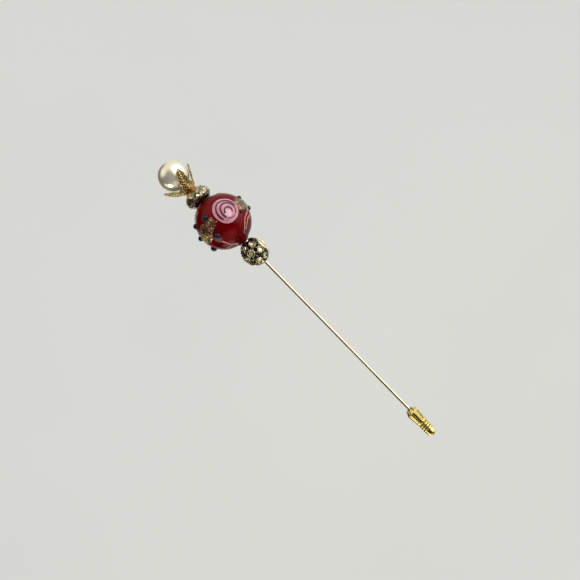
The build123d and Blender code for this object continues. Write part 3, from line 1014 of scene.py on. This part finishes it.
def make_barrel(material):
    """Fluted barrel with a notched crown for a mouth."""
    end = (MOUTH - BARREL_END) / MM
    outline = [
        *((0.75, 0.75), (0.75, 0.2), (0.8, 0.02), (1.15, 0.0)),  # mouth
        *((1.42, 0.35), (1.84, 0.9), (2.2, 1.3), (2.12, 2.2)),  # crown and shoulder
        *((1.82, end - 1.0), (1.70, end - 0.5), (1.55, end - 0.2), (1.45, end - 0.02)),  # waist
        *((1.2, end), (1.2, 0.95), (0.75, 0.75)),  # cavity
    ]
    profile = finer([(r * MM, MOUTH - d * MM) for r, d in rounded(outline, 2)], 0.07 * MM)

    def shape(radius, turn, height):
        panel, notch = flutes_at(turn, (MOUTH - height) / MM)
        return radius - (FLUTE_DEPTH * panel + NOTCH_DEPTH * notch) * MM * smooth(1.0 * MM, 1.4 * MM, radius)

    points, faces = lathe(profile, 240, shape)
    obj = mesh_object("clutch_fluted_barrel", points, faces, 40)
    at = coordinates(obj)
    panel, notch = flutes_at(np.arctan2(at[:, 1], at[:, 0]), (MOUTH - at[:, 2]) / MM)
    mouth = smooth(1.0, 0.8, np.hypot(at[:, 0], at[:, 1]) / MM)
    # Flute panels, crown notches and the inside of the mouth are marked for painted shade.
    attribute(obj, "recess", np.clip(0.68 * panel + 0.9 * notch + mouth, 0, 1))
    return ride(obj, material, "bright_gold", "clutch", "clutch_barrel")


def make_collar(material):
    """Turned rings with grooves between them."""
    rings = 3
    pitch = (BARREL_END - COLLAR_END) / MM / rings
    outline = [(1.2, 0.0), (1.45, 0.0)]
    for i in range(rings):
        at = pitch * (i + 0.5)
        outline += [(1.45, at - 0.36), (1.72, at - 0.24), (1.78, at), (1.72, at + 0.24), (1.45, at + 0.36)]
    outline += [(1.45, pitch * rings), (1.2, pitch * rings), (1.2, 0.0)]
    profile = finer([(r * MM, BARREL_END - d * MM) for r, d in rounded(outline, 2)], 0.06 * MM)
    points, faces = lathe(profile, 200)
    obj = mesh_object("clutch_ringed_collar", points, faces, 40)
    at = coordinates(obj)
    # The grooves between the rings are marked for painted shade.
    attribute(obj, "recess", smooth(1.62, 1.5, np.hypot(at[:, 0], at[:, 1]) / MM))
    return ride(obj, material, "bright_gold", "clutch", "clutch_collar")


def make_end(material):
    """Closed domed end, hollow for the grip."""
    top, low = COLLAR_END, CLUTCH_END
    radius = reach("clutch_end_cap")
    arc = [(radius * sin(a), low + radius * (1 - cos(a))) for a in np.linspace(0, pi / 2, 28)]
    floor = low + 1.4 * MM
    profile = finer([*arc, (radius, top), (1.2 * MM, top), (1.2 * MM, floor), (0, floor)], 0.12 * MM)
    points, faces = lathe(profile, 120)
    obj = mesh_object("clutch_domed_end", points, faces, 40)
    attribute(obj, "recess", np.zeros(len(obj.data.vertices)))
    return ride(obj, material, "bright_gold", "clutch", "clutch_end_cap")


def dress(node, material):
    """A CAD node that stays gets its material."""
    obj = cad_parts[node]
    obj.data.materials.clear()
    obj.data.materials.append(material)


# ---------------------------------------------------------------- stage, light and camera


def make_stage():
    """A pale floor that sweeps up into a wall behind the pin."""
    floor_z, wall_y, sweep = -0.30, 0.75, 0.45
    line = [(-6.0, floor_z), (wall_y - sweep, floor_z)]
    line += [
        (wall_y - sweep + sweep * sin(a), floor_z + sweep * (1 - cos(a))) for a in np.linspace(0.05, pi / 2, 24)
    ]
    line += [(wall_y, 4.0)]
    across = np.linspace(-6.0, 6.0, 3)
    points = [(x, y, z) for y, z in line for x in across]
    obj = mesh_object("studio_sweep", points, grid_faces(len(line), len(across), False))
    m = Material("pale_paper", Roughness=0.9, Emission_Strength=0.85)
    tone = m.mix(m.noise(3, 3), (0.56, 0.565, 0.545), (0.60, 0.605, 0.585))
    m.put(m.shader.inputs["Base Color"], m.mix(0.6, tone, (0.0, 0.0, 0.0)))
    m.put(m.shader.inputs["Emission Color"], tone)
    obj.data.materials.append(m.made)
    obj.visible_glossy = False
    obj.visible_diffuse = False


# What the metal and the pearl mirror, on a dark room: direction of each soft round patch, the angles from its
# middle at which it starts to fade and is gone, in degrees, and its colour
ROOM_DARK = (0.055, 0.048, 0.036)
ARC_DARK = (0.03, 0.027, 0.015)
ROOM = (
    ((0.05, 1, 0.1), 26, 58, (0.85, 0.85, 0.81)),  # wall behind the pin
    ((-0.36, -0.28, 0.89), 10, 38, (0.95, 0.92, 0.78)),  # ceiling on the left
    ((0.6, -0.2, 0.77), 15, 60, (0.80, 0.79, 0.74)),  # ceiling on the right
    ((-0.92, 0.3, 0.25), 9, 21, ARC_DARK),  # the dark arc near the pearl's edge
    ((-0.76, 0.32, 0.57), 9, 21, ARC_DARK),
    ((-0.48, 0.34, 0.81), 9, 21, ARC_DARK),
    ((-0.12, 0.36, 0.92), 9, 21, ARC_DARK),
    ((1, 0.45, 0), 55, 85, (0.70, 0.70, 0.68)),  # wall on the right
    ((-0.30, -0.25, -0.92), 12, 36, (0.62, 0.58, 0.45)),  # floor in front
    ((0.88, -0.47, 0.0), 20, 54, (2.3, 2.3, 2.26)),  # window
    ((-0.99, 0.05, -0.1), 4, 12, (1.3, 1.3, 1.22)),  # thin gleam on the left
    ((-0.85, -0.08, -0.51), 7, 18, (4.6, 4.6, 4.5)),  # lamp low on the left
    ((-0.42, 0.44, -0.79), 10, 24, (1.6, 1.6, 1.5)),  # gleam from low behind
)
ROOM_SEEN = (0.675, 0.685, 0.655)


def make_world():
    """Dim warm room on the photographer's side, paler behind, and pale grey where the camera sees it."""
    world = bpy.data.worlds.new("soft_room")
    bpy.context.scene.world = world
    world.use_nodes = True
    nodes, links = world.node_tree.nodes, world.node_tree.links
    nodes.clear()
    out = nodes.new("ShaderNodeOutputWorld")
    way = nodes.new("ShaderNodeTexCoord").outputs["Generated"]

    def blob(direction, inner, outer):
        dot = nodes.new("ShaderNodeVectorMath")
        dot.operation = "DOT_PRODUCT"
        links.new(way, dot.inputs[0])
        dot.inputs[1].default_value = Vector(direction).normalized()
        span = nodes.new("ShaderNodeMapRange")
        span.interpolation_type = "SMOOTHSTEP"
        links.new(dot.outputs["Value"], span.inputs["Value"])
        span.inputs["From Min"].default_value = cos(radians(outer))
        span.inputs["From Max"].default_value = cos(radians(inner))
        return span.outputs["Result"]

    def paint(base, factor, colour):
        mix = nodes.new("ShaderNodeMix")
        mix.data_type = "RGBA"
        links.new(factor, mix.inputs[0])
        if isinstance(base, bpy.types.NodeSocket):
            links.new(base, mix.inputs[6])
        else:
            mix.inputs[6].default_value = (*base, 1)
        mix.inputs[7].default_value = (*colour, 1)
        return mix.outputs[2]

    sky = ROOM_DARK
    for direction, inner, outer, colour in ROOM:
        sky = paint(sky, blob(direction, inner, outer), colour)
    seen = nodes.new("ShaderNodeLightPath").outputs["Is Camera Ray"]
    sky = paint(sky, seen, ROOM_SEEN)
    shade = nodes.new("ShaderNodeBackground")
    links.new(sky, shade.inputs["Color"])
    links.new(shade.outputs[0], out.inputs["Surface"])


def add_light(name, place, target, size, power, colour):
    """A square soft light that faces its target."""
    data = bpy.data.lights.new(name, "AREA")
    data.shape = "SQUARE"
    data.size = size
    data.energy = power
    data.color = colour
    light = bpy.data.objects.new(name, data)
    light.location = place
    light.rotation_euler = (Vector(target) - Vector(place)).to_track_quat("-Z", "Y").to_euler()
    light.visible_camera = False
    light.visible_glossy = False
    bpy.context.scene.collection.objects.link(light)


def make_camera():
    """The photograph's view: close to the pin's middle, on the -Y side, with the head at the upper left."""
    distance = 0.20
    data = bpy.data.cameras.new("camera")
    data.sensor_width = 36
    data.lens = 38.2
    data.clip_start = 0.01
    camera = bpy.data.objects.new("camera", data)
    roll = radians(44.3)
    right = Vector((cos(roll), 0, -sin(roll)))
    up = Vector((sin(roll), 0, cos(roll)))
    turn = Matrix((right, up, right.cross(up))).transposed().to_4x4()
    aim = Vector((-0.72 * MM, 0, -12.05 * MM))
    camera.matrix_world = Matrix.Translation(aim + Vector((0, -distance, 0))) @ turn
    bpy.context.scene.collection.objects.link(camera)
    bpy.context.scene.camera = camera


gold_ball = antique_gold()
glitter = goldstone()
gold = bright_gold()
pink = pink_glass()

make_pearl(pearl_coat())
make_cap(stamped_gold())
make_rondelle(coated_crystal())
make_core(ruby_glass())
for rose in ROSES:
    make_rose(*rose, pink)
for patch in PATCHES:
    make_patch(*patch, glitter)
make_dots(dark_glass())
make_stringers(thread_glass())
make_dome("flower_bead_front", -1, gold_ball)
make_dome("flower_bead_back", 1, gold_ball)
make_band(gold_ball)
make_wire(wire_gold())
make_barrel(gold)
make_collar(gold)
make_end(gold)
dress("clutch_grip", plain("nylon", (0.80, 0.79, 0.74), (0.66, 0.65, 0.60), 0.4, 900))
dress(
    "bead_glue",
    plain("cured_glue", (0.80, 0.72, 0.50), (0.62, 0.52, 0.32), 0.2, 1200, Transmission_Weight=0.6, IOR=1.48),
)

make_stage()
make_world()
add_light("window_light", (0.40, -0.25, 0.15), (0.0, 0.0, 0.0), 0.22, 1.6, (1.0, 0.99, 0.96))
add_light("room_light", (-0.25, -0.40, -0.18), (0.0, 0.0, 0.0), 0.4, 1.9, (1.0, 0.98, 0.95))
make_camera()
bpy.context.scene.view_settings.view_transform = "Standard"
